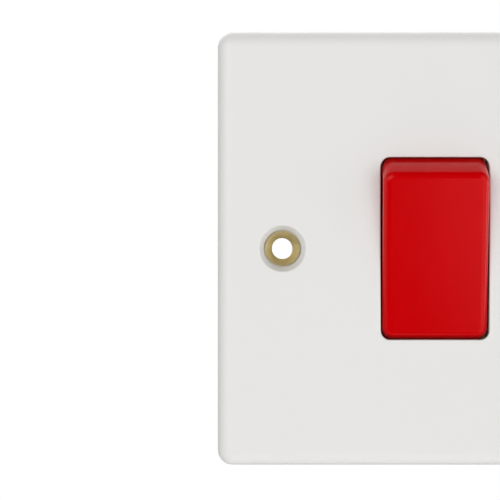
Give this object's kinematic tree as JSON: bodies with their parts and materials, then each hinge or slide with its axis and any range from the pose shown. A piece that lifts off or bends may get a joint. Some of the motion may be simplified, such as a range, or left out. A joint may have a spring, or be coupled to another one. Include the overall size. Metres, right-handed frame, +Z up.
{
  "type": "double pole switch",
  "caption": "Square white wall plate with a red rocker that opens two see-saw contact pairs, brass-lined fixing holes and a terminal block behind.",
  "frame": {"origin": "on the wall plane, midway between the two fixing screws", "axes": "+X right seen from the room, +Y into the wall, +Z up"},
  "size_m": [0.086, 0.0355, 0.086],
  "materials": {
    "white_plate": "glossy white moulded thermoset",
    "red_rocker": "glossy red moulded plastic",
    "brass": "plain pressed and turned brass",
    "base_moulding": "satin white moulded thermoset",
    "plated_steel": "bright zinc plated steel",
    "silver_contact": "silver alloy contact tip",
    "nylon": "natural nylon",
    "spring_steel": "drawn spring wire"
  },
  "bodies": {
    "plate": {"faceplate": "white_plate", "fixing_eyelet_left": "brass", "fixing_eyelet_right": "brass", "base": "base_moulding", "base_screws": "plated_steel", "terminal_screws": "plated_steel", "earth_strap": "brass", "earth_terminal": "brass", "earth_terminal_screw": "plated_steel", "supply_live_terminal": "brass", "supply_neutral_terminal": "brass", "load_live_terminal": "brass", "load_neutral_terminal": "brass", "live_fixed_contact": "brass", "live_fixed_tip": "silver_contact", "live_pivot_bracket": "brass", "neutral_fixed_contact": "brass", "neutral_fixed_tip": "silver_contact", "neutral_pivot_bracket": "brass"},
    "rocker": {"rocker": "red_rocker", "live_spring": "spring_steel", "neutral_spring": "spring_steel"},
    "live_contact": {"live_moving_contact": "brass", "live_moving_tip": "silver_contact"},
    "neutral_contact": {"neutral_moving_contact": "brass", "neutral_moving_tip": "silver_contact"},
    "live_plunger": {"live_plunger": "nylon"},
    "neutral_plunger": {"neutral_plunger": "nylon"}
  },
  "joints": [
    {"name": "rocker_tilt", "type": "hinge", "parent": "plate", "child": "rocker", "pos_m": [0, -0.001, 0], "axis": [1, 0, 0], "range_deg": [-16.4, 0]},
    {"name": "live_contact_tilt", "type": "hinge", "parent": "plate", "child": "live_contact", "pos_m": [0.0052, 0.0135, 0], "axis": [1, 0, 0], "range_deg": [0, 18]},
    {"name": "live_plunger_slide", "type": "slide", "parent": "rocker", "child": "live_plunger", "axis": [0, -0.9898, -0.1426], "range_m": [0, 0.0012], "stiffness_N_per_m": 800, "springref_m": -0.003, "deforming": ["live_spring"]},
    {"name": "neutral_contact_tilt", "type": "hinge", "parent": "plate", "child": "neutral_contact", "pos_m": [-0.0052, 0.0135, 0], "axis": [1, 0, 0], "range_deg": [0, 18]},
    {"name": "neutral_plunger_slide", "type": "slide", "parent": "rocker", "child": "neutral_plunger", "axis": [0, -0.9898, -0.1426], "range_m": [0, 0.0012], "stiffness_N_per_m": 800, "springref_m": -0.003, "deforming": ["neutral_spring"]}
  ],
  "couplings": [
    {"joint": "live_contact_tilt", "follows": "rocker_tilt", "ratio": -1},
    {"joint": "neutral_contact_tilt", "follows": "rocker_tilt", "ratio": -1}
  ]
}
